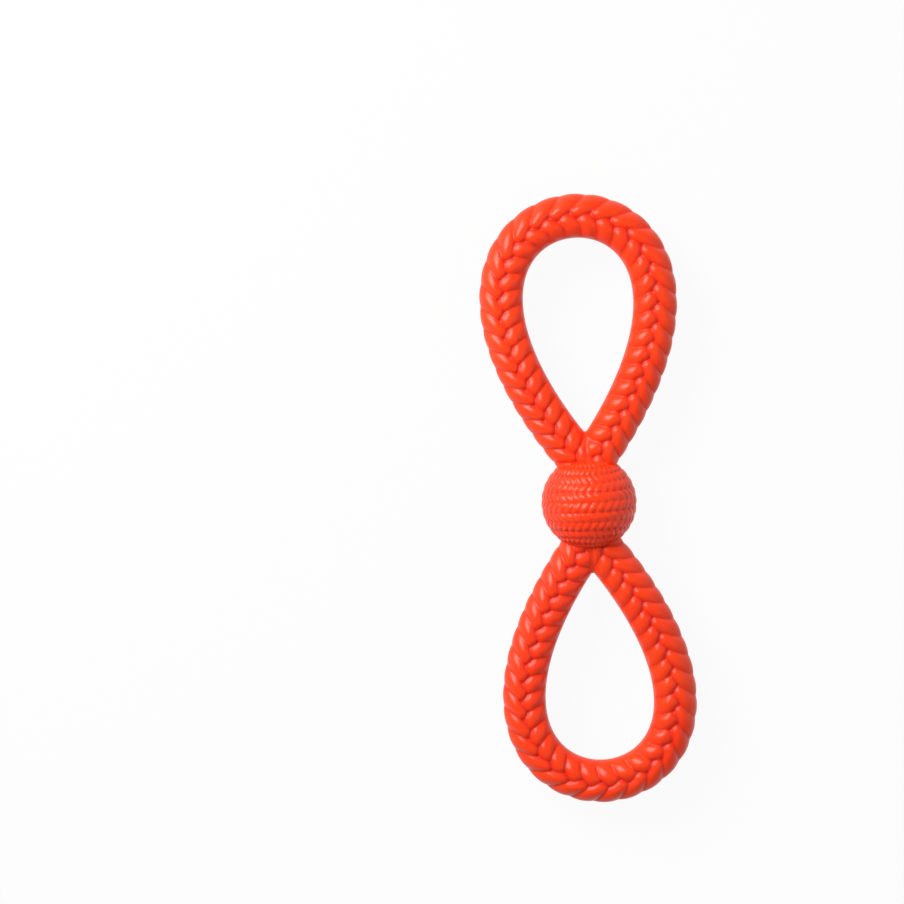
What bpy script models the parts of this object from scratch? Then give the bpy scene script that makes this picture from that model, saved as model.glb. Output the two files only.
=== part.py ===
"""A moulded rubber tug toy: two plaited loops rooted in a braided ball.

The toy lies flat. The loops run along Y on both sides of the ball, their holes open
along Z, and the ball's centre is the origin. All lengths are in metres.
"""
import math

import bmesh
import bpy
import numpy as np
from mathutils import Matrix

# Overall sizes, measured to the crests of the relief
OVERALL_LENGTH = 0.2706
OVERALL_WIDTH = 0.0862
BALL_RADIUS = 0.0210
ROPE_HALF_WIDTH = 0.0097
ROPE_HALF_THICKNESS = 0.0083

# Where the two legs of a loop come together, below the ball's surface
LEGS_MEET_DEPTH = 0.0060

# The plait: four columns of slanted lobes round the rope, two of them on its face
PLAIT_PITCH = 0.0082
PLAIT_CROWDING_SHARE = 0.07
PLAIT_GROOVE_DEPTH = 0.0019
VALLEY_DEPTH = 0.0007
VALLEY_HALF_WIDTH = 0.0045
LOBE_WIDTH_SHARE = 1.22
LOBE_RISE = 0.0028
LOBE_FULLNESS = 2.1
LOBE_TIP_CENTRE = 0.0019
OUTER_LOBE_TRAVEL = 0.0120
OUTER_LOBE_SLANT = math.radians(45)
INNER_LOBE_TRAVEL = 0.0056
INNER_LOBE_SLANT = math.radians(55)
OUTER_FADE_SHARE = 0.5
OUTER_FADE_FROM = math.radians(30)
OUTER_FADE_TO = math.radians(80)
SMOOTH_EDGE_DEPTH = 0.0003
SMOOTH_EDGE_FROM = math.radians(12)
SMOOTH_EDGE_TO = math.radians(44)

# The ball's braid: bands of two stitch rows, wound square to the toy's length
BAND_ANGLE = math.radians(27)
BANDS = 5
STITCHES_ROUND = 36
STITCH_LEAN_SHARE = 0.8
BAND_GROOVE_DEPTH = 0.0009
ROW_GROOVE_DEPTH = 0.0005
STITCH_GROOVE_DEPTH = 0.0005

# The root of each loop, an oval core in the ball: shares of the ball's radius
ROOT_DEPTH_SHARE = 0.45
ROOT_WIDTH_SHARE = 0.40
ROOT_THICKNESS_SHARE = 0.25
ROOT_OVERLAP = 0.0030
SEAT_GAP = 0.0003

# How finely the surfaces are divided, and where the first points beside a groove lie
POINTS_PER_COLUMN = 4
RINGS_PER_LOBE = 4
GROOVE_SIDE_ANGLE = math.radians(8)
PATH_SAMPLES = 1600
SEAT_SEGMENTS = 48
ROOT_SEGMENTS = 32

# Satin orange-red rubber
RUBBER_COLOUR = (0.91, 0.062, 0.022, 1.0)
RUBBER_ROUGHNESS = 0.34

# Mean radius of the rope, for lengths round it
ROPE_MEAN_RADIUS = (ROPE_HALF_WIDTH + ROPE_HALF_THICKNESS) / 2

# The angle that one stitch takes round the ball
STITCH_ANGLE = 2 * math.pi / STITCHES_ROUND

# Largest value of sin(t) * sin(t / 2), which sets a teardrop's width to 1
TEARDROP_PEAK = 4 / (3 * math.sqrt(3))

# The columns beside a groove: side, offset in lobes, slant and longest travel
PLAIT_COLUMNS = (
    (1, 0.0, OUTER_LOBE_SLANT, OUTER_LOBE_TRAVEL),
    (-1, 0.5, INNER_LOBE_SLANT, INNER_LOBE_TRAVEL),
)


def clear_scene():
    """Removes the objects of the scene that the script starts in."""
    for item in list(bpy.data.objects):
        bpy.data.objects.remove(item, do_unlink=True)


def rubber(name):
    """Makes one piece's own rubber material."""
    material = bpy.data.materials.new(name)
    material.use_nodes = True
    shader = material.node_tree.nodes["Principled BSDF"]
    shader.inputs["Base Color"].default_value = RUBBER_COLOUR
    shader.inputs["Roughness"].default_value = RUBBER_ROUGHNESS
    shader.inputs["Metallic"].default_value = 0.0
    material.diffuse_color = RUBBER_COLOUR
    return material


def smoothstep(low, high, value):
    """Rises from 0 at low to 1 at high without a corner."""
    share = np.clip((value - low) / (high - low), 0, 1)
    return share * share * (3 - 2 * share)


def wrapped(angle):
    """Brings an angle into the half turn on each side of zero."""
    return (angle + math.pi) % (2 * math.pi) - math.pi


class LoopPath:
    """Centre line of one loop: a teardrop whose legs cross inside the ball.

    The half width is a product of two sines, so both legs leave the crossing in
    nearly straight lines and close in a round far end. It is followed clockwise.
    """

    def __init__(self):
        near = BALL_RADIUS - LEGS_MEET_DEPTH
        far = OVERALL_LENGTH / 2 - ROPE_HALF_WIDTH
        half_width = OVERALL_WIDTH / 2 - ROPE_HALF_WIDTH
        turn = np.linspace(0, 2 * math.pi, PATH_SAMPLES)
        side = -half_width * np.sin(turn) * np.sin(turn / 2) / TEARDROP_PEAK
        along = (far + near) / 2 - (far - near) / 2 * np.cos(turn)
        points = np.column_stack((side, along))
        self.run_on = LEGS_MEET_DEPTH
        first = self.unit(points[1] - points[0])
        last = self.unit(points[-1] - points[-2])
        start = points[0] - self.run_on * first
        finish = points[-1] + self.run_on * last
        self.points = np.vstack((start, points, finish))
        steps = np.linalg.norm(np.diff(self.points, axis=0), axis=1)
        self.travelled = np.concatenate(([0], np.cumsum(steps))) - self.run_on
        self.length = self.travelled[-2]
        middles = (self.travelled[1:] + self.travelled[:-1]) / 2
        self.tangent_places = middles
        self.tangents = np.diff(self.points, axis=0) / steps[:, None]

    @staticmethod
    def unit(vector):
        """Returns the vector at length 1."""
        return vector / np.linalg.norm(vector)

    def place(self, distance):
        """Returns the points at these distances and the directions out of the loop."""
        x = np.interp(distance, self.travelled, self.points[:, 0])
        y = np.interp(distance, self.travelled, self.points[:, 1])
        tangent_x = np.interp(distance, self.tangent_places, self.tangents[:, 0])
        tangent_y = np.interp(distance, self.tangent_places, self.tangents[:, 1])
        size = np.hypot(tangent_x, tangent_y)
        return x, y, -tangent_y / size, tangent_x / size


def crowded(share):
    """Share of a loop's lobes that lie before this share of its length.

    The lobes crowd a little near the ball and spread at the far end.
    """
    turn = 2 * math.pi
    return share + PLAIT_CROWDING_SHARE * np.sin(turn * share) / turn


def lobe_run(across, slant, longest):
    """How far along the rope a lobe has run at this distance from its groove.

    It leaves the groove at the slant and turns until it lies square to the rope.
    """
    steepness = math.tan(slant)
    ahead = np.maximum(across, 0)
    bent = longest * (1 - np.exp(-ahead / (longest * steepness)))
    return bent + np.minimum(across, 0) / steepness


def angle_from_groove(angle):
    """Angle from the nearer groove, above zero on the outer side of the loop."""
    turned = wrapped(angle)
    behind = np.sign(turned) * math.pi - turned
    return np.where(np.abs(turned) > math.pi / 2, behind, turned)


def plait_depth(angle, travelled, pitch):
    """Depth of the plait below the oval on which its crests lie.

    The face and the back have the same plait. A lobe is a rounded ridge that starts in
    a round tip, a little past the groove and between two tips of the other column, and
    runs on to the edge of the rope. Where lobes meet, the highest wins. Beside the
    groove they sink into a shallow valley. The relief is shallower at the outer edge
    of the loop, and the inner edge is smooth.
    """
    from_groove = angle_from_groove(angle)
    half_pitch = LOBE_WIDTH_SHARE * pitch / 2
    height = np.full_like(travelled, -PLAIT_GROOVE_DEPTH)
    for side, offset, slant, longest in PLAIT_COLUMNS:
        run_rate = math.exp(-LOBE_TIP_CENTRE / (longest * math.tan(slant)))
        tip_slant = math.atan2(math.tan(slant), run_rate)
        sine = math.sin(tip_slant)
        cosine = math.cos(tip_slant)
        across = side * from_groove * ROPE_MEAN_RADIUS
        past_centre = across - LOBE_TIP_CENTRE
        run = lobe_run(across, slant, longest)
        nearest = np.round((travelled - run) / pitch - offset)
        for step in (-1, 0, 1):
            onward = travelled - (offset + nearest + step) * pitch
            from_centre = onward - lobe_run(LOBE_TIP_CENTRE, slant, longest)
            along = from_centre * cosine + past_centre * sine
            to_tip = np.hypot(from_centre, past_centre) / (half_pitch * sine)
            to_spine = np.abs(onward - run) / half_pitch
            gap = np.where(along < 0, to_tip, to_spine)
            rounded = np.maximum(1 - gap ** LOBE_FULLNESS, 0) ** (1 / LOBE_FULLNESS)
            height = np.maximum(height, LOBE_RISE * (rounded - 1))
    faded = smoothstep(OUTER_FADE_FROM, OUTER_FADE_TO, np.abs(from_groove))
    beside = smoothstep(0, VALLEY_HALF_WIDTH, np.abs(from_groove) * ROPE_MEAN_RADIUS)
    carved_depth = -height * (1 - OUTER_FADE_SHARE * faded) + VALLEY_DEPTH * (1 - beside)
    from_inner_edge = np.abs(wrapped(angle + math.pi / 2))
    carved = smoothstep(SMOOTH_EDGE_FROM, SMOOTH_EDGE_TO, from_inner_edge)
    return SMOOTH_EDGE_DEPTH + (carved_depth - SMOOTH_EDGE_DEPTH) * carved


def oval_radius(angle):
    """Distance of the oval of the crests from the rope's centre line.

    The angle is counted from the face of the rope to the outer edge of the loop.
    """
    wide = np.sin(angle) / ROPE_HALF_WIDTH
    thick = np.cos(angle) / ROPE_HALF_THICKNESS
    return 1 / np.hypot(wide, thick)


def closed_mesh(name, rings):
    """Joins rings of points with quads and closes both ends with a fan of triangles."""
    mesh = bpy.data.meshes.new(name)
    shape = bmesh.new()
    layers = [[shape.verts.new(point) for point in ring] for ring in rings]
    count = len(layers[0])
    for low, high in zip(layers, layers[1:]):
        for index in range(count):
            after = (index + 1) % count
            shape.faces.new((low[index], low[after], high[after], high[index]))
    for ring, layer in ((rings[0], layers[0]), (rings[-1], layers[-1])):
        middle = shape.verts.new(np.mean(ring, axis=0))
        for index in range(count):
            shape.faces.new((layer[index], layer[(index + 1) % count], middle))
    bmesh.ops.recalc_face_normals(shape, faces=shape.faces)
    shape.to_mesh(mesh)
    shape.free()
    mesh.shade_smooth()
    return mesh


def ring_angles():
    """Angles of a ring's points: the same in each column, with none in the grooves."""
    column = np.linspace(GROOVE_SIDE_ANGLE, math.pi / 2, POINTS_PER_COLUMN + 1)
    half = np.concatenate((column, math.pi - column[-2::-1]))
    return np.concatenate((half, math.pi + half))


def loop_mesh():
    """The plaited rope of one loop, with its rings laid along the slanted lobes."""
    path = LoopPath()
    lobes = round(path.length / PLAIT_PITCH)
    pitch = path.length / lobes
    ring_step = pitch / RINGS_PER_LOBE
    marks = path.length * crowded(path.travelled / path.length)
    extra = math.ceil(-marks[0] / ring_step)
    angle = ring_angles()
    across = angle_from_groove(angle) * ROPE_MEAN_RADIUS
    run = sum(lobe_run(np.maximum(side * across, 0), slant, longest)
              for side, _, slant, longest in PLAIT_COLUMNS)
    rings = []
    for index in range(-extra, lobes * RINGS_PER_LOBE + extra + 1):
        start = min(max(index * ring_step, marks[0]), marks[-1])
        to_end = min(start - marks[0], marks[-1] - start)
        slanted = min(to_end / (2 * run.max()), 1)
        travelled = start + slanted * run
        out = oval_radius(angle) - plait_depth(angle, travelled, pitch)
        x, y, out_x, out_y = path.place(np.interp(travelled, marks, path.travelled))
        sideways = out * np.sin(angle)
        upward = out * np.cos(angle)
        rings.append(np.column_stack((x + out_x * sideways, y + out_y * sideways, upward)))
    return closed_mesh("plaited_loop", rings)


def stitch_lean(from_middle):
    """Angle by which a stitch leans forward at this share of its band's width."""
    return STITCH_LEAN_SHARE * STITCH_ANGLE * (1 - 2 * from_middle)


def braid_depth(latitude, longitude):
    """Depth of the ball's braid below its crests.

    A band has two rows of stitches, which lean together towards its middle. The
    grooves between bands are deeper than those between their two rows.
    """
    band = latitude / BAND_ANGLE
    from_middle = abs(band - round(band))
    between_rows = 1 - math.sqrt(abs(math.sin(2 * math.pi * from_middle)))
    deepest = ROW_GROOVE_DEPTH + (BAND_GROOVE_DEPTH - ROW_GROOVE_DEPTH) * 2 * from_middle
    place = (longitude - stitch_lean(from_middle)) / STITCH_ANGLE
    between_stitches = 1 - np.abs(np.cos(math.pi * place))
    return deepest * between_rows + STITCH_GROOVE_DEPTH * between_stitches


def ball_mesh():
    """The ball, with its poles on the toy's length and its rings along the rows."""
    start = np.arange(2 * STITCHES_ROUND) * STITCH_ANGLE / 2
    ring_angle = BAND_ANGLE / 4
    last = 2 * BANDS
    rings = []
    for index in range(-last - 1, last + 2):
        latitude = index * ring_angle
        if abs(index) > last:
            latitude = math.copysign((last * ring_angle + math.pi / 2) / 2, index)
        band = latitude / BAND_ANGLE
        longitude = start + stitch_lean(abs(band - round(band)))
        out = BALL_RADIUS - braid_depth(latitude, longitude)
        sideways = out * math.cos(latitude) * np.sin(longitude)
        upward = out * math.cos(latitude) * np.cos(longitude)
        rings.append(np.column_stack((sideways, out * math.sin(latitude), upward)))
    return closed_mesh("centre_ball", rings)


def root_mesh(name, gap):
    """An oval core along Y, from inside the ball to inside the legs of a loop."""
    inner = BALL_RADIUS * (1 - ROOT_DEPTH_SHARE) - gap
    outer = BALL_RADIUS + ROOT_OVERLAP
    width = BALL_RADIUS * ROOT_WIDTH_SHARE + gap
    thickness = BALL_RADIUS * ROOT_THICKNESS_SHARE + gap
    upright = Matrix.Rotation(-math.pi / 2, 4, "X")
    size = Matrix.Diagonal((width, outer - inner, thickness, 1))
    place = Matrix.Translation((0, (outer + inner) / 2, 0)) @ size @ upright
    mesh = bpy.data.meshes.new(name)
    shape = bmesh.new()
    bmesh.ops.create_cone(shape, cap_ends=True, segments=ROOT_SEGMENTS, radius1=1, radius2=1,
                          depth=1, matrix=place)
    bmesh.ops.recalc_face_normals(shape, faces=shape.faces)
    shape.to_mesh(mesh)
    shape.free()
    return mesh


def seat_mesh():
    """The hollow in which the ball sits at the root of a loop."""
    mesh = bpy.data.meshes.new("ball_seat")
    shape = bmesh.new()
    bmesh.ops.create_uvsphere(shape, u_segments=SEAT_SEGMENTS, v_segments=SEAT_SEGMENTS // 2,
                              radius=BALL_RADIUS + SEAT_GAP)
    shape.to_mesh(mesh)
    shape.free()
    return mesh


def add_object(name, mesh, turn=0.0, guide=False):
    """Links a mesh as an object, turned about Z. A guide only helps to cut or join."""
    item = bpy.data.objects.new(name, mesh)
    item.rotation_euler = (0, 0, turn)
    bpy.context.scene.collection.objects.link(item)
    if guide:
        item.hide_render = True
        item.display_type = "WIRE"
    return item


def add_boolean(item, guide, operation, crosses_itself=False):
    """Cuts or joins a guide's shape."""
    modifier = item.modifiers.new(f"{operation.lower()}_{guide.name}", "BOOLEAN")
    modifier.object = guide
    modifier.operation = operation
    modifier.solver = "EXACT"
    modifier.use_self = crosses_itself


def build_loop(name, mesh, turn, seat, root):
    """One loop: the rope whose legs cross, seated on the ball, with its root."""
    loop = add_object(name, mesh, turn)
    add_boolean(loop, seat, "DIFFERENCE", crosses_itself=True)
    core = add_object(f"{name}_root", root, turn, guide=True)
    add_boolean(loop, core, "UNION")
    loop.data.materials.append(rubber(f"{name}_rubber"))
    return loop


def build_ball(socket):
    """The ball, with a socket on each side for the root of a loop."""
    ball = add_object("centre_ball", ball_mesh())
    for name, turn in (("upper_socket", 0.0), ("lower_socket", math.pi)):
        cutter = add_object(name, socket, turn, guide=True)
        add_boolean(ball, cutter, "DIFFERENCE")
    ball.data.materials.append(rubber("centre_ball_rubber"))
    return ball


def main():
    """Builds the whole toy."""
    clear_scene()
    seat = add_object("ball_seat", seat_mesh(), guide=True)
    root = root_mesh("loop_root", 0.0)
    socket = root_mesh("loop_socket", SEAT_GAP)
    rope = loop_mesh()
    build_loop("upper_loop", rope, 0.0, seat, root)
    build_loop("lower_loop", rope.copy(), math.pi, seat, root)
    build_ball(socket)


main()
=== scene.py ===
"""A moulded rubber tug toy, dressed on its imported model.

Two plaited loops are rooted in a braided ball. The toy lies flat, with the loops
along Y, their holes open along Z and the ball's centre at the origin. Lengths are in
metres. Each piece is one numpy grid whose points come from a formula, given in its
docstring, and one procedural rubber finishes them all.
"""

import logging
import math
from dataclasses import dataclass, field
from enum import Enum

import bpy
import numpy as np
from mathutils import Matrix, Vector

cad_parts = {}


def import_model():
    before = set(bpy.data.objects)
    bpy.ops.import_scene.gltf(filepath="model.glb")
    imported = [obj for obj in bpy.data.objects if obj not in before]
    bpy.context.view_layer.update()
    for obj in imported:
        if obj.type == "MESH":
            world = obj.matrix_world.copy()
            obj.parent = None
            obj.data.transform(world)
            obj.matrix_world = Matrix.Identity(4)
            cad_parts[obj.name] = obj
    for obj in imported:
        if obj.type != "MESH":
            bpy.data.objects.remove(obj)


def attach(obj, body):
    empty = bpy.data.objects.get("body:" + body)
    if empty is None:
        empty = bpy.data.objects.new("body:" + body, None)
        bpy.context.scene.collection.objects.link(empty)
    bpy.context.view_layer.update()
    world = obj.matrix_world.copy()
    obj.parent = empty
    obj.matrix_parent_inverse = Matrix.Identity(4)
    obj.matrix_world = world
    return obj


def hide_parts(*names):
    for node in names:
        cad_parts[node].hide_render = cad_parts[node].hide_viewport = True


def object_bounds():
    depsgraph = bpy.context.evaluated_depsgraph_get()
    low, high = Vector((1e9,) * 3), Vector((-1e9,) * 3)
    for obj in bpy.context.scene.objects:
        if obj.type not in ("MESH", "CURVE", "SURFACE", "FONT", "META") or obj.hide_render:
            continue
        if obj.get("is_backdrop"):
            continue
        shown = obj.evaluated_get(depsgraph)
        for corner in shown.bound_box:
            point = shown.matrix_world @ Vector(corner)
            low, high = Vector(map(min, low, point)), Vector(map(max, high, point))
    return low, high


LOG = logging.getLogger("tug_toy")
MILLIMETRE = 0.001
WHITE = "#FFFFFF"

# Numbers of the Mix node's colour sockets, whose names other sockets of it share.
MIX_SHARE, MIX_FIRST, MIX_SECOND, MIX_RESULT = 0, 6, 7, 2


def smoothstep(low: float, high: float, value: np.ndarray) -> np.ndarray:
    """Rises from 0 at low to 1 at high without a corner.

    Args:
        low: The value at which the rise starts.
        high: The value at which it is complete.
        value: Where to read it.

    Returns:
        The share, 3t^2 - 2t^3 of the way t from low to high.
    """
    share = np.clip((value - low) / (high - low), 0.0, 1.0)
    return share * share * (3.0 - 2.0 * share)


def wrapped(angle: np.ndarray) -> np.ndarray:
    """Brings angles into the half turn on each side of zero."""
    return (angle + math.pi) % (2.0 * math.pi) - math.pi


def linear(colour: str) -> tuple[float, float, float, float]:
    """Turns an sRGB hex colour into the linear colour that a shader takes.

    The numbers are those of the sRGB standard's own curve.

    Args:
        colour: Six hex digits after a hash sign.

    Returns:
        Linear red, green, blue and an alpha of 1.
    """
    parts = [int(colour[place:place + 2], 16) / 255.0 for place in (1, 3, 5)]
    red, green, blue = (
        part / 12.92 if part <= 0.04045 else ((part + 0.055) / 1.055) ** 2.4
        for part in parts
    )
    return red, green, blue, 1.0


def add_node(tree: bpy.types.NodeTree, kind: str, settings: dict | None = None,
             links: dict | None = None) -> bpy.types.Node:
    """Adds a shader node with its settings, values and links.

    Args:
        tree: The node tree to add it to.
        kind: Blender's identifier of the node.
        settings: Properties by name, such as an operation.
        links: For each input, by name or number, a value or another node's output.

    Returns:
        The new node.
    """
    node = tree.nodes.new(kind)
    for name, value in (settings or {}).items():
        setattr(node, name, value)
    for name, value in (links or {}).items():
        if isinstance(value, bpy.types.NodeSocket):
            tree.links.new(value, node.inputs[name])
        else:
            node.inputs[name].default_value = value
    return node


def mesh_object(name: str, points: np.ndarray, faces: list[np.ndarray],
                relief: np.ndarray) -> bpy.types.Object:
    """Puts points and faces into a smooth mesh, with the relief as an attribute.

    Args:
        name: The name of the object and its mesh.
        points: One row of x, y and z for each point.
        faces: Arrays of point numbers, one row a face, each array with its own width.
        relief: For each point 0 at the bottom of a groove and 1 on a crest.

    Returns:
        The object, at the origin, with its faces turned outwards.
    """
    mesh = bpy.data.meshes.new(name)
    corners = np.concatenate([block.ravel() for block in faces]).astype(np.int32)
    sizes = np.concatenate([np.full(len(block), block.shape[1]) for block in faces])
    starts = np.concatenate(([0], np.cumsum(sizes)[:-1])).astype(np.int32)
    mesh.vertices.add(len(points))
    mesh.vertices.foreach_set("co", points.astype(np.float32).ravel())
    mesh.loops.add(len(corners))
    mesh.loops.foreach_set("vertex_index", corners)
    mesh.polygons.add(len(starts))
    mesh.polygons.foreach_set("loop_start", starts)
    mesh.update(calc_edges=True)
    mesh.validate()
    if signed_volume(points, faces[0]) < 0.0:
        mesh.flip_normals()
    attribute = mesh.attributes.new("relief", "FLOAT", "POINT")
    attribute.data.foreach_set("value", relief.astype(np.float32).ravel())
    mesh.shade_smooth()
    piece = bpy.data.objects.new(name, mesh)
    bpy.context.scene.collection.objects.link(piece)
    return piece


def signed_volume(points: np.ndarray, quads: np.ndarray) -> float:
    """Volume inside quads: the sum of a . (b x c) / 6 over their two triangles each.

    Args:
        points: One row of x, y and z for each point.
        quads: Four point numbers a row.

    Returns:
        The volume, below zero where the faces are turned inwards.
    """
    first, second, third, fourth = (points[quads[:, corner]] for corner in range(4))
    halves = np.cross(second, third) + np.cross(third, fourth)
    return float(np.einsum("ij,ij->", first, halves)) / 6.0


class Side(Enum):
    """The end of the ball on which a loop stands, as the sign of its Y."""

    UPPER = 1.0
    LOWER = -1.0


@dataclass(frozen=True)
class MouldedRubber:
    """Injection moulded thermoplastic rubber, solid orange-red right through.

    The steel mould leaves it satin, with a fine grain. Its highlights are soft, a
    little light enters it, and the creases carry painted shade, a deeper colour than
    the crests.
    A moulded grain is about 0.1 mm across, too fine to show here, so it is drawn at
    0.45 mm.
    """

    crest_colour: str = "#FB3C15"
    # Painted shade: the crease colour darkens the grooves where shade falls; the crest
    # colour is the rubber's own.
    crease_shade_colour: str = "#CE0A03"
    warm_colour: str = "#FF4C18"
    crease_relief: float = 0.05
    crest_relief: float = 0.90
    cloud_size: float = 30.0 * MILLIMETRE
    cloud_detail: float = 2.0
    cloud_from: float = 0.35
    cloud_to: float = 0.75
    cloud_share: float = 0.45
    roughness_crest: float = 0.25
    roughness_crease: float = 0.42
    roughness_grain: float = 0.10
    ior: float = 1.50
    specular_level: float = 0.29
    light_depth: float = 1.2 * MILLIMETRE
    light_share: float = 0.10
    light_reach: tuple[float, float, float] = (1.0, 0.35, 0.2)
    grain_size: float = 0.45 * MILLIMETRE
    grain_height: float = 0.010 * MILLIMETRE
    swell_size: float = 5.0 * MILLIMETRE
    swell_height: float = 0.05 * MILLIMETRE
    fine_detail: float = 1.0
    parting_height: float = 0.06 * MILLIMETRE
    parting_width: float = 0.22 * MILLIMETRE

    def make(self, name: str) -> bpy.types.Material:
        """Builds the rubber as a material.

        The colour runs from the crease colour to the crest colour with the relief, so the
        grooves carry painted shade, and clouds of a warmer mix lie over it. The bump adds
        a grain too fine for the mesh, a slow swell, and the thin line where the mould's
        halves meet at z = 0.

        Args:
            name: The material's name.

        Returns:
            The material.
        """
        material = bpy.data.materials.new(name)
        material.use_nodes = True
        tree = material.node_tree
        tree.nodes.clear()
        place = add_node(tree, "ShaderNodeTexCoord").outputs["Object"]
        relief = add_node(tree, "ShaderNodeAttribute", {"attribute_name": "relief"})
        shown = add_node(tree, "ShaderNodeMapRange",
                         {"interpolation_type": "SMOOTHSTEP"},
                         {"Value": relief.outputs["Fac"],
                          "From Min": self.crease_relief,
                          "From Max": self.crest_relief})
        clouds = add_node(tree, "ShaderNodeTexNoise", {},
                          {"Vector": place, "Scale": 1.0 / self.cloud_size,
                           "Detail": self.cloud_detail})
        warmth = add_node(tree, "ShaderNodeMapRange", {},
                          {"Value": clouds.outputs["Fac"],
                           "From Min": self.cloud_from, "From Max": self.cloud_to,
                           "To Max": self.cloud_share})
        crest = add_node(tree, "ShaderNodeMix", {"data_type": "RGBA"},
                         {MIX_SHARE: warmth.outputs["Result"],
                          MIX_FIRST: linear(self.crest_colour),
                          MIX_SECOND: linear(self.warm_colour)})
        # Painted shade: the colour falls to the crease colour down in the grooves.
        colour = add_node(tree, "ShaderNodeMix", {"data_type": "RGBA"},
                          {MIX_SHARE: shown.outputs["Result"],
                           MIX_FIRST: linear(self.crease_shade_colour),
                           MIX_SECOND: crest.outputs[MIX_RESULT]})
        grain = add_node(tree, "ShaderNodeTexNoise", {},
                         {"Vector": place, "Scale": 1.0 / self.grain_size,
                          "Detail": self.fine_detail})
        rubbed = add_node(tree, "ShaderNodeMapRange", {},
                          {"Value": shown.outputs["Result"],
                           "To Min": self.roughness_crease,
                           "To Max": self.roughness_crest})
        uneven = add_node(tree, "ShaderNodeMath", {"operation": "MULTIPLY_ADD"},
                          {0: grain.outputs["Fac"], 1: self.roughness_grain,
                           2: rubbed.outputs["Result"]})
        shader = add_node(tree, "ShaderNodeBsdfPrincipled", {},
                          {"Base Color": colour.outputs[MIX_RESULT],
                           "Roughness": uneven.outputs[0],
                           "Normal": self.bump(tree, place, grain.outputs["Fac"]),
                           "IOR": self.ior, "Specular IOR Level": self.specular_level,
                           "Subsurface Weight": self.light_share,
                           "Subsurface Scale": self.light_depth,
                           "Subsurface Radius": self.light_reach})
        add_node(tree, "ShaderNodeOutputMaterial", {},
                 {"Surface": shader.outputs["BSDF"]})
        return material

    def bump(self, tree: bpy.types.NodeTree, place: bpy.types.NodeSocket,
             grain: bpy.types.NodeSocket) -> bpy.types.NodeSocket:
        """Adds the heights that are too small for the mesh.

        Height in metres = grain + swell + parting line, where the line is
        1 - smoothstep of the distance from the plane z = 0. The heights are true, so
        the bump's distance and strength are 1.

        Args:
            tree: The material's node tree.
            place: The object coordinates.
            grain: The fine noise, from 0 to 1.

        Returns:
            The bumped normal.
        """
        swell = add_node(tree, "ShaderNodeTexNoise", {},
                         {"Vector": place, "Scale": 1.0 / self.swell_size,
                          "Detail": self.fine_detail})
        swell_rise = add_node(tree, "ShaderNodeMath", {"operation": "MULTIPLY"},
                              {0: swell.outputs["Fac"], 1: self.swell_height})
        grain_rise = add_node(tree, "ShaderNodeMath", {"operation": "MULTIPLY_ADD"},
                              {0: grain, 1: self.grain_height,
                               2: swell_rise.outputs[0]})
        parts = add_node(tree, "ShaderNodeSeparateXYZ", {}, {"Vector": place})
        away = add_node(tree, "ShaderNodeMath", {"operation": "ABSOLUTE"},
                        {0: parts.outputs["Z"]})
        line = add_node(tree, "ShaderNodeMapRange",
                        {"interpolation_type": "SMOOTHSTEP"},
                        {"Value": away.outputs[0], "From Min": 0.0,
                         "From Max": self.parting_width,
                         "To Min": self.parting_height, "To Max": 0.0})
        height = add_node(tree, "ShaderNodeMath", {"operation": "ADD"},
                          {0: grain_rise.outputs[0], 1: line.outputs["Result"]})
        bump = add_node(tree, "ShaderNodeBump", {},
                        {"Height": height.outputs[0], "Distance": 1.0, "Strength": 1.0})
        return bump.outputs["Normal"]


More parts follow.
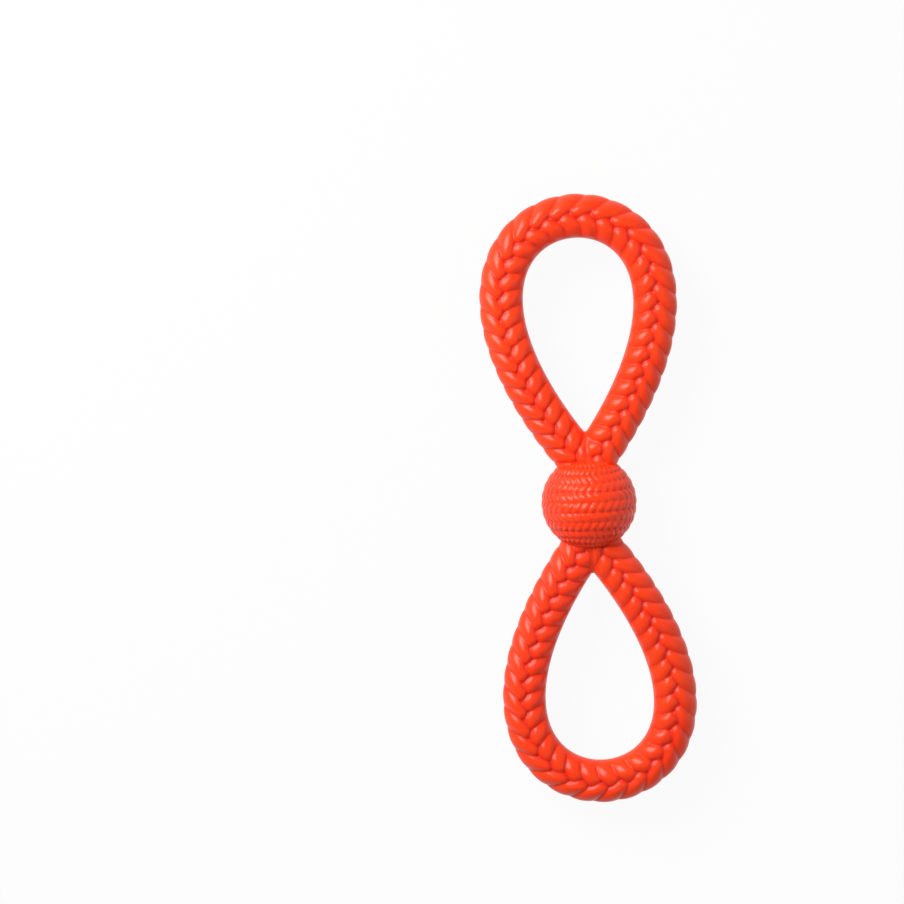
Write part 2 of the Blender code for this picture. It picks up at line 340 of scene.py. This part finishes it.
@dataclass
class Plait:
    """The plait pressed into the rope: slanted lobes in a column each side of a groove.

    The face and the back carry the same plait, mirrored in the mould's parting plane.
    """

    half_width: float = 0.0097
    half_thickness: float = 0.0083
    pitch: float = 0.0082
    crowding_share: float = 0.07
    groove_depth: float = 0.0019
    valley_depth: float = 0.0007
    valley_half_width: float = 0.0045
    lobe_width_share: float = 1.22
    lobe_rise: float = 0.0032
    lobe_fullness: float = 2.0
    tip_centre: float = 0.0019
    outer_travel: float = 0.0120
    outer_slant: float = math.radians(45.0)
    inner_travel: float = 0.0056
    inner_slant: float = math.radians(55.0)
    crease_round: float = 0.00020
    edge_fade_share: float = 0.60
    edge_fade_from: float = math.radians(55.0)
    edge_fade_to: float = math.radians(88.0)
    smooth_depth: float = 0.0003
    smooth_from: float = math.radians(12.0)
    smooth_to: float = math.radians(44.0)

    @property
    def mean_radius(self) -> float:
        """Mean radius of the rope's oval."""
        return (self.half_width + self.half_thickness) / 2.0

    def oval(self, angle: np.ndarray) -> np.ndarray:
        """Distance of the crests' oval from the rope's centre line.

        Args:
            angle: Round the rope, from its face to the outer edge of the loop.

        Returns:
            1 / sqrt((sin / half width)^2 + (cos / half thickness)^2).
        """
        return 1.0 / np.hypot(np.sin(angle) / self.half_width,
                              np.cos(angle) / self.half_thickness)

    @staticmethod
    def travel(across: np.ndarray, slant: float, longest: float) -> np.ndarray:
        """How far along the rope a lobe has run at a distance from the groove.

        It is T * (1 - exp(-across / (T * tan(slant)))), with T the longest travel, so
        a lobe leaves the groove at the slant and ends nearly square to the rope.
        Before the groove it goes straight on.

        Args:
            across: Round the rope from the groove, below zero past it.
            slant: Angle between the lobe and the rope at the groove.
            longest: The travel T that the lobe tends to.

        Returns:
            The distance along the rope.
        """
        steepness = math.tan(slant)
        ahead = np.maximum(across, 0.0)
        bent = longest * (1.0 - np.exp(-ahead / (longest * steepness)))
        return bent + np.minimum(across, 0.0) / steepness

    def depth(self, angle: np.ndarray, share: np.ndarray, length: float) -> np.ndarray:
        """Depth of the plait below the oval of its crests.

        A lobe starts with a round tip a little past the groove, between two tips of
        the other column, and follows its travel to the edge of the rope, which is
        longer on the loop's outer side. With g the distance from its spine over its
        half width and p its fullness, it stands rise * ((1 - g^p)^(1/p) - 1) high.
        The highest lobe wins, through a soft maximum k * log(sum(exp(height / k)))
        that rounds the crease, and the groove's depth is the floor. Beside the groove
        both columns sink into a shallow valley, 1 - smoothstep across it. The relief
        is shallower towards the rope's two edges, and at the inner edge of the loop
        the rubber is smooth. The lobes are crowded near the ball by adding
        crowding * sin(2 pi share) / 2 pi to the share of the way round the loop.

        Args:
            angle: Round the rope, from its face to the outer edge of the loop.
            share: Share of the way round the loop.
            length: Length of the loop's centre line.

        Returns:
            The depth at each point.
        """
        crowding = self.crowding_share * np.sin(2.0 * math.pi * share) / (2.0 * math.pi)
        distance = length * (share + crowding)
        pitch = length / round(length / self.pitch)
        half_pitch = self.lobe_width_share * pitch / 2.0
        turned = wrapped(angle)
        folded = np.where(np.abs(turned) > math.pi / 2.0,
                          np.sign(turned) * math.pi - turned, turned)
        soft = self.crease_round
        total = np.full_like(distance, math.exp(-self.groove_depth / soft))
        for side, offset, slant, longest in (
                (1.0, 0.0, self.outer_slant, self.outer_travel),
                (-1.0, 0.5, self.inner_slant, self.inner_travel)):
            rate = math.exp(-self.tip_centre / (longest * math.tan(slant)))
            tip_slant = math.atan2(math.tan(slant), rate)
            sine, cosine = math.sin(tip_slant), math.cos(tip_slant)
            tip_travel = float(self.travel(np.array(self.tip_centre), slant, longest))
            across = side * folded * self.mean_radius
            past_centre = across - self.tip_centre
            run = self.travel(across, slant, longest)
            nearest = np.round((distance - run) / pitch - offset)
            for step in (-1, 0, 1):
                onward = distance - (offset + nearest + step) * pitch
                from_centre = onward - tip_travel
                along = from_centre * cosine + past_centre * sine
                to_tip = np.hypot(from_centre, past_centre) / (half_pitch * sine)
                to_spine = np.abs(onward - run) / half_pitch
                gap = np.where(along < 0.0, to_tip, to_spine)
                full = np.maximum(1.0 - gap ** self.lobe_fullness, 0.0)
                height = self.lobe_rise * (full ** (1.0 / self.lobe_fullness) - 1.0)
                total += np.exp(height / soft)
        carved = -soft * np.log(total)
        edge = smoothstep(self.edge_fade_from, self.edge_fade_to, np.abs(folded))
        valley = 1.0 - smoothstep(0.0, self.valley_half_width,
                                  np.abs(folded) * self.mean_radius)
        carved *= 1.0 - self.edge_fade_share * edge
        carved += self.valley_depth * valley
        from_inner_edge = np.abs(wrapped(angle + math.pi / 2.0))
        shown = smoothstep(self.smooth_from, self.smooth_to, from_inner_edge)
        return self.smooth_depth + (carved - self.smooth_depth) * shown


@dataclass
class LoopPath:
    """Centre line of one loop: a teardrop whose legs cross inside the ball."""

    near: float
    far: float
    half_width: float
    run_on: float
    samples: int = 6001
    travelled: np.ndarray = field(init=False)
    points: np.ndarray = field(init=False)
    tangents: np.ndarray = field(init=False)
    length: float = field(init=False)

    def __post_init__(self) -> None:
        """Samples the teardrop.

        With t from 0 to a full turn, x = -half width * sin(t) * sin(t / 2) over that
        product's peak, 4 / (3 sqrt 3), and y goes from near to far and back with
        cos(t). Both ends run on straight past the crossing.
        """
        peak = 4.0 / (3.0 * math.sqrt(3.0))
        turn = np.linspace(0.0, 2.0 * math.pi, self.samples)
        side = -self.half_width * np.sin(turn) * np.sin(turn / 2.0) / peak
        middle, reach = (self.far + self.near) / 2.0, (self.far - self.near) / 2.0
        along = middle - reach * np.cos(turn)
        curve = np.column_stack((side, along))
        first = curve[1] - curve[0]
        last = curve[-1] - curve[-2]
        first = first / np.hypot(*first)
        last = last / np.hypot(*last)
        self.points = np.vstack((curve[0] - self.run_on * first, curve,
                                 curve[-1] + self.run_on * last))
        steps = np.diff(self.points, axis=0)
        sizes = np.hypot(steps[:, 0], steps[:, 1])
        self.travelled = np.concatenate(([0.0], np.cumsum(sizes))) - self.run_on
        self.length = float(self.travelled[-2])
        self.tangents = steps / sizes[:, None]

    @property
    def quarter(self) -> float:
        """A quarter of the way round, where the two legs are well apart."""
        return self.length / 4.0

    def place(self, distance: np.ndarray) -> tuple[np.ndarray, ...]:
        """Reads the centre line.

        Args:
            distance: Along the centre line from the crossing, clockwise.

        Returns:
            x and y of the line, and x and y of the direction out of the loop.
        """
        middles = (self.travelled[1:] + self.travelled[:-1]) / 2.0
        x = np.interp(distance, self.travelled, self.points[:, 0])
        y = np.interp(distance, self.travelled, self.points[:, 1])
        tangent_x = np.interp(distance, middles, self.tangents[:, 0])
        tangent_y = np.interp(distance, middles, self.tangents[:, 1])
        size = np.hypot(tangent_x, tangent_y)
        return x, y, -tangent_y / size, tangent_x / size


@dataclass
class RopeLoop:
    """One plaited loop, from its root in the ball round its far end and back."""

    name: str
    node: str
    side: Side
    overall_length: float = 0.2706
    overall_width: float = 0.0862
    ball_radius: float = 0.0210
    legs_meet_depth: float = 0.0060
    root_share: float = 0.55
    root_smooth: float = 0.0040
    seam_depth: float = 0.0010
    seam_width: float = 0.0024
    crotch_fillet: float = 0.0029
    steepest_fillet: float = 2.5
    gather_length: float = 0.062
    tries: int = 3000
    around: int = 124
    rings: int = 770
    plait: Plait = field(default_factory=Plait)

    @property
    def root(self) -> float:
        """Height of the loop's flat root along Y, inside the ball."""
        return self.ball_radius * self.root_share

    def path(self) -> LoopPath:
        """The centre line that the overall sizes give."""
        return LoopPath(
            near=self.ball_radius - self.legs_meet_depth,
            far=self.overall_length / 2.0 - self.plait.half_width,
            half_width=self.overall_width / 2.0 - self.plait.half_width,
            run_on=self.legs_meet_depth)

    def plain(self, path: LoopPath, angle: np.ndarray,
              distance: np.ndarray) -> tuple[np.ndarray, np.ndarray]:
        """x and y of the rope's surface with its relief left at the seam's depth.

        Args:
            path: The loop's centre line.
            angle: Round the rope.
            distance: Along the centre line.

        Returns:
            x and y.
        """
        x, y, out_x, out_y = path.place(distance)
        sideways = (self.plait.oval(angle) - self.seam_depth) * np.sin(angle)
        return x + out_x * sideways, y + out_y * sideways

    def leg_starts(self, path: LoopPath,
                   angle: np.ndarray) -> tuple[np.ndarray, np.ndarray]:
        """Where each line along the rope begins.

        A leg keeps only its own side of the plane x = 0, in which the two legs are
        mirror images, and ends at a flat root inside the ball. So a line begins at
        whichever of the two it meets last on its way back to the ball.

        Args:
            path: The loop's centre line.
            angle: Round the rope, one value for each line.

        Returns:
            The distance along the centre line, and whether it lies in the plane.
        """
        tried = np.linspace(-path.run_on, path.quarter, self.tries)
        x, y = self.plain(path, angle[:, None], tried[None, :])
        places = np.arange(len(angle))
        starts = []
        for kept in (-x, y - self.root):
            last = np.argmax((kept < 0.0)[:, ::-1], axis=1)
            outside = (kept < 0.0).any(axis=1)
            before = np.clip(len(tried) - 1 - last, 0, len(tried) - 2)
            low, high = kept[places, before], kept[places, before + 1]
            share = np.where(outside, low / (low - high), 0.0)
            begun = tried[before] + share * (tried[1] - tried[0])
            starts.append(np.where(outside, begun, -path.run_on))
        return np.maximum(*starts), starts[0] > starts[1]

    def fillet(self, angle: np.ndarray, out_x: np.ndarray, out_y: np.ndarray,
               own_side: np.ndarray) -> tuple[np.ndarray, np.ndarray]:
        """The rubber that rounds the crotch and the seam between the legs.

        At a distance s from the plane between the legs, inside the fillet's width w,
        the surface is raised by m * (w - s)^2 / (2 w) within the plane. m is the
        part of its outward direction that faces the plane over the part that lies
        in it, so the two legs meet level however steeply they lean together.

        Args:
            angle: Round the rope.
            out_x: x of the direction out of the loop, turned to face the plane.
            out_y: y of the direction out of the loop.
            own_side: Distance from the plane.

        Returns:
            How far the surface moves along y and z.
        """
        lean_out = np.sin(angle) / self.plait.half_width ** 2
        lean_up = np.cos(angle) / self.plait.half_thickness ** 2
        within = np.hypot(out_y * lean_out, lean_up)
        steepness = np.clip(out_x * lean_out / within, 0.0, self.steepest_fillet)
        reach = np.maximum(self.crotch_fillet - np.maximum(own_side, 0.0), 0.0)
        rise = steepness * reach ** 2 / (2.0 * self.crotch_fillet)
        return rise * out_y * lean_out / within, rise * lean_up / within

    def surface(self) -> tuple[np.ndarray, np.ndarray, np.ndarray]:
        """Works out the loop's surface as a grid of rings.

        The point at angle a and distance s is centre(s) + out(s) * r * sin(a) in the
        plane of the loop and r * cos(a) above it, with r the oval less the plait's
        depth. Near the ball the rings are gathered so that every line along the rope
        ends on the plane between the legs or on the flat root. Next to both the
        relief sinks to one depth, and the fillet rounds what the legs enclose.

        Returns:
            Points (ring, angle, axis), relief (ring, angle), and which lines end in
            the plane between the legs.
        """
        path = self.path()
        angle = 2.0 * math.pi * (np.arange(self.around) + 0.5) / self.around
        begun, meets = self.leg_starts(path, angle)
        share = np.linspace(0.0, 1.0, self.rings)[:, None]
        even = share * path.length
        near = np.clip(1.0 - even / self.gather_length, 0.0, None)
        near_end = np.clip(1.0 - (path.length - even) / self.gather_length, 0.0, None)
        distance = even + near * begun[None, :] - near_end * begun[None, :]
        angles = np.broadcast_to(angle[None, :], distance.shape)
        plain_x, plain_y = self.plain(path, angles, distance)
        turn_side = np.where(distance < path.length / 2.0, 1.0, -1.0)
        own_side = -turn_side * plain_x
        by_ball = np.minimum(distance, path.length - distance) < path.quarter
        above_root = smoothstep(self.root, self.root + self.root_smooth, plain_y)
        apart = smoothstep(0.0, self.seam_width, own_side)
        apart = np.where(by_ball, apart, 1.0) * above_root
        depth = self.plait.depth(angles, distance / path.length, path.length)
        depth = self.seam_depth + (depth - self.seam_depth) * apart
        radius = self.plait.oval(angles) - depth
        x, y, out_x, out_y = path.place(distance)
        sideways = radius * np.sin(angles)
        points = np.stack((x + out_x * sideways, y + out_y * sideways,
                           radius * np.cos(angles)), axis=-1)
        along, up = self.fillet(angles, turn_side * out_x, out_y, own_side)
        points[..., 1] += along * above_root * by_ball
        points[..., 2] += up * above_root * by_ball
        for end in (0, -1):
            points[end, meets, 0] = 0.0
        points[..., :2] *= self.side.value
        # The relief sets the rubber's painted shade and roughness in the grooves.
        deepest = self.plait.groove_depth + self.plait.valley_depth
        return points, 1.0 - depth / deepest, meets

    def build(self) -> bpy.types.Object:
        """Joins the grid into one closed mesh.

        Neighbouring rings are joined by quads. The last ring's points that lie in
        the plane between the legs are the first ring's own, which welds the legs,
        and one many-sided face closes the flat root of both.

        Returns:
            The loop.
        """
        points, relief, meets = self.surface()
        rings, around = relief.shape
        number = np.arange(rings * around).reshape(rings, around)
        kept = np.ones(rings * around, bool)
        kept[number[-1, meets]] = False
        number[-1, meets] = number[0, meets]
        renumbered = np.cumsum(kept) - 1
        number = renumbered[number]
        ahead = np.roll(number, -1, axis=1)
        quads = np.stack((number[:-1], ahead[:-1], ahead[1:], number[1:]),
                         axis=-1).reshape(-1, 4)
        outline = self.root_outline(number, meets)
        return mesh_object(self.name, points.reshape(-1, 3)[kept], [quads, outline],
                           relief.ravel()[kept])

    @staticmethod
    def root_outline(number: np.ndarray, meets: np.ndarray) -> np.ndarray:
        """Point numbers round the flat root, in order.

        Args:
            number: Point number of each ring and line.
            meets: Which lines end in the plane between the legs.

        Returns:
            One row: the first leg's outline one way and the second leg's back.
        """
        around = len(meets)
        ends = np.flatnonzero(~meets)
        first = ends[np.flatnonzero(np.diff(ends, prepend=ends[-1] - around) > 1)[0]]
        order = (first - 1 + np.arange(len(ends) + 2)) % around
        there, back = number[0, order], number[-1, order[::-1]]
        return np.concatenate((there, back[1:-1]))[None, ::-1]


@dataclass
class BraidedBall:
    """The ball between the loops, braided in bands of two rows of stitches."""

    name: str = "braided_ball"
    node: str = "centre_ball"
    radius: float = 0.0210
    band_angle: float = math.radians(24.5)
    band_shift: float = math.radians(6.5)
    stitches: int = 36
    lean_share: float = 0.8
    band_groove: float = 0.0007
    row_groove: float = 0.00055
    stitch_groove: float = 0.00044
    row_power: float = 0.75
    stitch_power: float = 0.85
    edge_fade_share: float = 0.50
    edge_fade_from: float = math.radians(64.0)
    edge_fade_to: float = math.radians(90.0)
    plain_within: float = 0.10
    full_beyond: float = 0.40
    relief_share: float = 0.7
    points_per_stitch: int = 10
    rings: int = 161

    def depth(self, latitude: np.ndarray, longitude: np.ndarray) -> np.ndarray:
        """Depth of the braid below its crests.

        With m the distance from a band's middle in bands, from 0 to a half, the rows
        are 1 - |sin(2 pi m)|^p deep, with p the row power, so sharp grooves part the
        bands and shallower ones their two rows. Across itself a stitch is
        1 - |cos|^q deep, with q the stitch power, and it leans forward towards the
        band's middle. The bands are shifted a little towards the upper loop. The
        braid is shallower towards the mould's parting plane, and its stitches fade
        towards the poles, inside the loops.

        Args:
            latitude: From the ball's equator towards a loop.
            longitude: Round the ball from the top.

        Returns:
            The depth at each point.
        """
        stitch = 2.0 * math.pi / self.stitches
        band = (latitude - self.band_shift) / self.band_angle
        from_middle = np.abs(band - np.round(band))
        raised = np.abs(np.sin(2.0 * math.pi * from_middle)) ** self.row_power
        deepest = (self.row_groove
                   + (self.band_groove - self.row_groove) * 2.0 * from_middle)
        lean = self.lean_share * stitch * (1.0 - 2.0 * from_middle)
        across = np.abs(np.cos(math.pi * (longitude - lean) / stitch))
        shown = smoothstep(self.plain_within, self.full_beyond, np.cos(latitude))
        stitched = self.stitch_groove * shown * (1.0 - across ** self.stitch_power)
        edge = smoothstep(self.edge_fade_from, self.edge_fade_to,
                          np.arccos(np.abs(np.cos(longitude))))
        carved = deepest * (1.0 - raised) + stitched
        return carved * (1.0 - self.edge_fade_share * edge)

    def build(self) -> bpy.types.Object:
        """Builds the ball from rings of latitude, closed at both poles.

        A point lies at radius less depth from the centre: sine of the latitude along
        Y, and its cosine times sine and cosine of the longitude along X and Z.

        Returns:
            The ball.
        """
        around = self.stitches * self.points_per_stitch
        latitude = np.linspace(-math.pi / 2.0, math.pi / 2.0, self.rings + 2)
        latitude = latitude[1:-1, None]
        longitude = 2.0 * math.pi * np.arange(around)[None, :] / around
        depth = self.depth(latitude, longitude)
        out = self.radius - depth
        points = np.stack((out * np.cos(latitude) * np.sin(longitude),
                           out * np.sin(latitude) * np.ones_like(longitude),
                           out * np.cos(latitude) * np.cos(longitude)), axis=-1)
        poles = np.array([[0.0, points[0, 0, 1], 0.0], [0.0, points[-1, 0, 1], 0.0]])
        number = np.arange(self.rings * around).reshape(self.rings, around)
        ahead = np.roll(number, -1, axis=1)
        quads = np.stack((number[:-1], ahead[:-1], ahead[1:], number[1:]),
                         axis=-1).reshape(-1, 4)
        south, north = number.size, number.size + 1
        caps = np.concatenate((
            np.stack((ahead[0], number[0], np.full(around, south)), axis=-1),
            np.stack((number[-1], ahead[-1], np.full(around, north)), axis=-1)))
        deepest = self.band_groove + self.stitch_groove
        # The relief sets the painted shade and the roughness in the grooves; relief_share
        # keeps the ball's painted shade lighter than the loops'.
        relief = 1.0 - self.relief_share * depth / deepest
        return mesh_object(self.name, np.concatenate((points.reshape(-1, 3), poles)),
                           [quads, caps], np.concatenate((relief.ravel(), [1.0, 1.0])))


@dataclass
class TugToy:
    """The whole toy: two loops and the ball."""

    rubber: MouldedRubber = field(default_factory=MouldedRubber)

    def build(self) -> None:
        """Builds, dresses and declares each piece."""
        for part in (RopeLoop("plaited_upper_loop", "upper_loop", Side.UPPER),
                     RopeLoop("plaited_lower_loop", "lower_loop", Side.LOWER),
                     BraidedBall()):
            piece = part.build()
            piece.data.materials.append(self.rubber.make(f"moulded_rubber_{part.node}"))
            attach(piece, "root")
            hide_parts(part.node)
            LOG.info("%s: %d faces", piece.name, len(piece.data.polygons))


@dataclass(frozen=True)
class SoftBox:
    """A square lamp that points at the ball."""

    name: str
    place: tuple[float, float, float]
    size: float
    power: float

    def hang(self) -> None:
        """Hangs the lamp, with its side in metres and its power in watts."""
        data = bpy.data.lights.new(self.name, "AREA")
        data.size = self.size
        data.energy = self.power
        lamp = bpy.data.objects.new(self.name, data)
        lamp.location = self.place
        lamp.rotation_euler = Vector(self.place).to_track_quat("Z", "Y").to_euler()
        bpy.context.scene.collection.objects.link(lamp)


@dataclass
class Studio:
    """A white table under soft boxes, and the camera over it.

    The camera's focal length, turns and offset are those at which the toy's outline
    fits the photograph's.
    """

    floor_height: float
    focal_pixels: float = 2025.0
    frame_pixels: float = 904.0
    sensor_width: float = 36.0
    roll: float = math.radians(3.52)
    pitch: float = math.radians(5.86)
    yaw: float = math.radians(-3.0)
    offset: tuple[float, float] = (0.0604, -0.0222)
    camera_distance: float = 0.893
    key_lamp: SoftBox = SoftBox("key_lamp", (-0.43, 0.46, 0.60), 0.56, 10.4)
    fill_lamp: SoftBox = SoftBox("fill_lamp", (0.90, -0.20, 0.80), 0.9, 1.6)
    floor_size: float = 20.0
    paint_colour: str = "#DADADA"
    paint_roughness: float = 1.0
    floor_shine_share: float = 0.94
    world_strength: float = 0.24
    ceiling_strength: float = 0.15
    walls_fade_from: float = 0.15
    walls_fade_to: float = 0.55

    def view_turn(self) -> Matrix:
        """Turn from the toy's frame to the camera's: roll, then pitch, then yaw."""
        return (Matrix.Rotation(self.roll, 3, "Z") @ Matrix.Rotation(self.pitch, 3, "X")
                @ Matrix.Rotation(self.yaw, 3, "Y"))

    def camera(self) -> None:
        """Places the camera over the table."""
        data = bpy.data.cameras.new("camera")
        data.sensor_width = self.sensor_width
        data.lens = self.focal_pixels / self.frame_pixels * data.sensor_width
        camera = bpy.data.objects.new("camera", data)
        back = self.view_turn().transposed()
        place = back @ Vector((-self.offset[0], -self.offset[1], self.camera_distance))
        camera.matrix_world = Matrix.Translation(place) @ back.to_4x4()
        bpy.context.scene.collection.objects.link(camera)
        bpy.context.scene.camera = camera

    def floor(self) -> None:
        """Lays the white table that the ball rests on."""
        half = self.floor_size / 2.0
        corners = np.array([(-half, -half), (half, -half), (half, half), (-half, half)])
        heights = np.full((4, 1), self.floor_height)
        mesh = bpy.data.meshes.new("floor")
        mesh.from_pydata(np.hstack((corners, heights)).tolist(), [], [(0, 1, 2, 3)])
        mesh.update()
        floor = bpy.data.objects.new("floor", mesh)
        bpy.context.scene.collection.objects.link(floor)
        mesh.materials.append(self.table_paint())
        floor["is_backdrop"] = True

    def table_paint(self) -> bpy.types.Material:
        """Mixes white matt paint, shown to the camera as white with a light shadow.

        Returns:
            The material.
        """
        material = bpy.data.materials.new("white_matt_paint")
        material.use_nodes = True
        tree = material.node_tree
        tree.nodes.clear()
        paint = add_node(tree, "ShaderNodeBsdfDiffuse", {},
                         {"Color": linear(self.paint_colour),
                          "Roughness": self.paint_roughness})
        bright = add_node(tree, "ShaderNodeEmission", {},
                          {"Color": linear(WHITE), "Strength": 1.0})
        share = add_node(tree, "ShaderNodeMath", {"operation": "MULTIPLY"},
                         {0: self.seen_directly(tree), 1: self.floor_shine_share})
        mixed = add_node(tree, "ShaderNodeMixShader", {},
                         {0: share.outputs[0], 1: paint.outputs[0],
                          2: bright.outputs[0]})
        add_node(tree, "ShaderNodeOutputMaterial", {}, {"Surface": mixed.outputs[0]})
        return material

    @staticmethod
    def seen_directly(tree: bpy.types.NodeTree) -> bpy.types.NodeSocket:
        """Tells the rays that look at a thing from those that only light the toy.

        Args:
            tree: The node tree to add to.

        Returns:
            1 for a ray from the camera or by way of a gloss or a glass, else 0.
        """
        light_path = add_node(tree, "ShaderNodeLightPath")
        glossy = add_node(tree, "ShaderNodeMath", {"operation": "MAXIMUM"},
                          {0: light_path.outputs["Is Camera Ray"],
                           1: light_path.outputs["Is Glossy Ray"]})
        either = add_node(tree, "ShaderNodeMath", {"operation": "MAXIMUM"},
                          {0: glossy.outputs[0],
                           1: light_path.outputs["Is Transmission Ray"]})
        return either.outputs[0]

    def world(self) -> None:
        """Fills the room with even light, and shows white walls and a dim ceiling."""
        world = bpy.data.worlds.new("studio")
        world.use_nodes = True
        tree = world.node_tree
        tree.nodes.clear()
        lit = add_node(tree, "ShaderNodeBackground", {},
                       {"Color": linear(WHITE), "Strength": self.world_strength})
        direction = add_node(tree, "ShaderNodeTexCoord").outputs["Generated"]
        parts = add_node(tree, "ShaderNodeSeparateXYZ", {}, {"Vector": direction})
        walls = add_node(tree, "ShaderNodeMapRange",
                         {"interpolation_type": "SMOOTHSTEP"},
                         {"Value": parts.outputs["Z"],
                          "From Min": self.walls_fade_from,
                          "From Max": self.walls_fade_to,
                          "To Min": 1.0, "To Max": self.ceiling_strength})
        shown = add_node(tree, "ShaderNodeBackground", {},
                         {"Color": linear(WHITE), "Strength": walls.outputs["Result"]})
        mixed = add_node(tree, "ShaderNodeMixShader", {},
                         {0: self.seen_directly(tree), 1: lit.outputs[0],
                          2: shown.outputs[0]})
        add_node(tree, "ShaderNodeOutputWorld", {}, {"Surface": mixed.outputs[0]})
        bpy.context.scene.world = world

    def build(self) -> None:
        """Sets up the camera, the table, the lamps and the room."""
        self.camera()
        self.floor()
        self.key_lamp.hang()
        self.fill_lamp.hang()
        self.world()
        bpy.context.scene.view_settings.view_transform = "Standard"


def main() -> None:
    """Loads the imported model, builds the toy on it and sets up the studio."""
    logging.basicConfig(level=logging.INFO, format="%(name)s: %(message)s")
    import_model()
    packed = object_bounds()
    TugToy().build()
    Studio(floor_height=packed[0].z).build()


if __name__ == "__main__":
    main()
